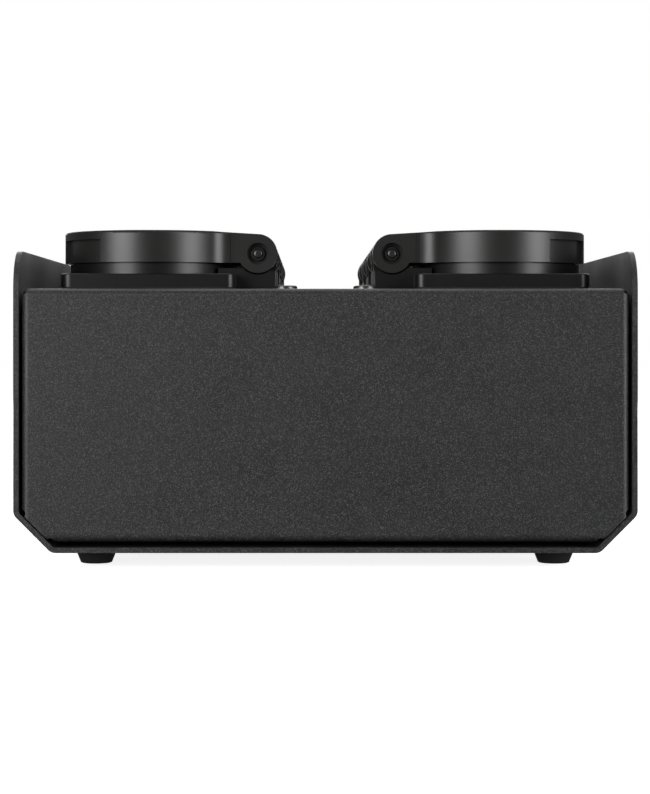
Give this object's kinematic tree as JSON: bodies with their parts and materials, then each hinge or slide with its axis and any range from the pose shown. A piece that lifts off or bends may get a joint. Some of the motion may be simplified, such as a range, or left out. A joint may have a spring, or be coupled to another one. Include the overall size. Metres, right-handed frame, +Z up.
{
  "type": "portable power distribution box",
  "caption": "Black folded-steel power distribution box with raised side wings, rubber feet and two columns of sprung-lid mains sockets.",
  "frame": {"origin": "on the surface that the feet stand on, under the middle of the box", "axes": "+Z up; -Y towards the blank end; X across the two columns of sockets"},
  "size_m": [0.174, 0.254, 0.0953],
  "materials": {
    "powder_steel": "fine-texture matt black powder coat",
    "socket_plastic": "moulded black polyamide",
    "lid_plastic": "semi-gloss moulded black polyamide",
    "insert_plastic": "moulded black polyamide",
    "seal_rubber": "matt EPDM",
    "foot_rubber": "matt rubber",
    "zinc_screw": "bright zinc plate",
    "black_screw": "black oxide",
    "steel_pin": "black moulded pin",
    "spring_steel": "drawn stainless spring wire",
    "plated_brass": "plain brass",
    "galvanised_steel": "galvanised",
    "copper": "bare copper",
    "stud_brass": "plain brass",
    "block_plastic": "grey polyamide",
    "live_insulation": "brown PVC",
    "neutral_insulation": "blue PVC",
    "earth_insulation": "green-yellow PVC",
    "feed_insulation": "black PVC",
    "inlet_plastic": "moulded black polyamide",
    "outlet_plastic": "moulded black polyamide"
  },
  "bodies": {
    "root": {"bus_bars": "copper", "chassis": "powder_steel", "connector_screws": "black_screw", "earth_clips": "plated_brass", "earth_nut": "stud_brass", "earth_stud": "stud_brass", "earth_wires": "earth_insulation", "feed_wires": "feed_insulation", "flange_gaskets": "seal_rubber", "foot_screws": "zinc_screw", "hinge_pins": "steel_pin", "hinge_springs": "spring_steel", "large_nuts": "zinc_screw", "link_outlet": "outlet_plastic", "live_wires": "live_insulation", "neutral_wires": "neutral_insulation", "outer_shell": "powder_steel", "pin_contacts": "plated_brass", "power_inlet": "inlet_plastic", "rail_screws": "zinc_screw", "rubber_feet": "foot_rubber", "side_screws": "black_screw", "small_nuts": "zinc_screw", "socket_base_left_1": "socket_plastic", "socket_base_left_2": "socket_plastic", "socket_base_left_3": "socket_plastic", "socket_base_left_4": "socket_plastic", "socket_base_right_1": "socket_plastic", "socket_base_right_2": "socket_plastic", "socket_base_right_3": "socket_plastic", "socket_base_right_4": "socket_plastic", "socket_insert_left_1": "insert_plastic", "socket_insert_left_2": "insert_plastic", "socket_insert_left_3": "insert_plastic", "socket_insert_left_4": "insert_plastic", "socket_insert_right_1": "insert_plastic", "socket_insert_right_2": "insert_plastic", "socket_insert_right_3": "insert_plastic", "socket_insert_right_4": "insert_plastic", "socket_screws": "black_screw", "terminal_blocks": "block_plastic", "terminal_rail": "galvanised_steel"},
    "lid_body_left_1": {"lid_left_1": "lid_plastic", "lid_seal_left_1": "seal_rubber"},
    "lid_body_left_2": {"lid_left_2": "lid_plastic", "lid_seal_left_2": "seal_rubber"},
    "lid_body_left_3": {"lid_left_3": "lid_plastic", "lid_seal_left_3": "seal_rubber"},
    "lid_body_left_4": {"lid_left_4": "lid_plastic", "lid_seal_left_4": "seal_rubber"},
    "lid_body_right_1": {"lid_right_1": "lid_plastic", "lid_seal_right_1": "seal_rubber"},
    "lid_body_right_2": {"lid_right_2": "lid_plastic", "lid_seal_right_2": "seal_rubber"},
    "lid_body_right_3": {"lid_right_3": "lid_plastic", "lid_seal_right_3": "seal_rubber"},
    "lid_body_right_4": {"lid_right_4": "lid_plastic", "lid_seal_right_4": "seal_rubber"}
  },
  "joints": [
    {"name": "lid_hinge_left_1", "type": "hinge", "parent": "root", "child": "lid_body_left_1", "pos_m": [-0.0193, -0.09, 0.0889], "axis": [0, 1, 0], "range_deg": [0, 100], "stiffness_Nm_per_rad": 0.02, "springref_deg": -57.3},
    {"name": "lid_hinge_left_2", "type": "hinge", "parent": "root", "child": "lid_body_left_2", "pos_m": [-0.0193, -0.03, 0.0889], "axis": [0, 1, 0], "range_deg": [0, 100], "stiffness_Nm_per_rad": 0.02, "springref_deg": -57.3},
    {"name": "lid_hinge_left_3", "type": "hinge", "parent": "root", "child": "lid_body_left_3", "pos_m": [-0.0193, 0.03, 0.0889], "axis": [0, 1, 0], "range_deg": [0, 100], "stiffness_Nm_per_rad": 0.02, "springref_deg": -57.3},
    {"name": "lid_hinge_left_4", "type": "hinge", "parent": "root", "child": "lid_body_left_4", "pos_m": [-0.0193, 0.09, 0.0889], "axis": [0, 1, 0], "range_deg": [0, 100], "stiffness_Nm_per_rad": 0.02, "springref_deg": -57.3},
    {"name": "lid_hinge_right_1", "type": "hinge", "parent": "root", "child": "lid_body_right_1", "pos_m": [0.0193, -0.09, 0.0889], "axis": [0, -1, 0], "range_deg": [0, 100], "stiffness_Nm_per_rad": 0.02, "springref_deg": -57.3},
    {"name": "lid_hinge_right_2", "type": "hinge", "parent": "root", "child": "lid_body_right_2", "pos_m": [0.0193, -0.03, 0.0889], "axis": [0, -1, 0], "range_deg": [0, 100], "stiffness_Nm_per_rad": 0.02, "springref_deg": -57.3},
    {"name": "lid_hinge_right_3", "type": "hinge", "parent": "root", "child": "lid_body_right_3", "pos_m": [0.0193, 0.03, 0.0889], "axis": [0, -1, 0], "range_deg": [0, 100], "stiffness_Nm_per_rad": 0.02, "springref_deg": -57.3},
    {"name": "lid_hinge_right_4", "type": "hinge", "parent": "root", "child": "lid_body_right_4", "pos_m": [0.0193, 0.09, 0.0889], "axis": [0, -1, 0], "range_deg": [0, 100], "stiffness_Nm_per_rad": 0.02, "springref_deg": -57.3}
  ]
}
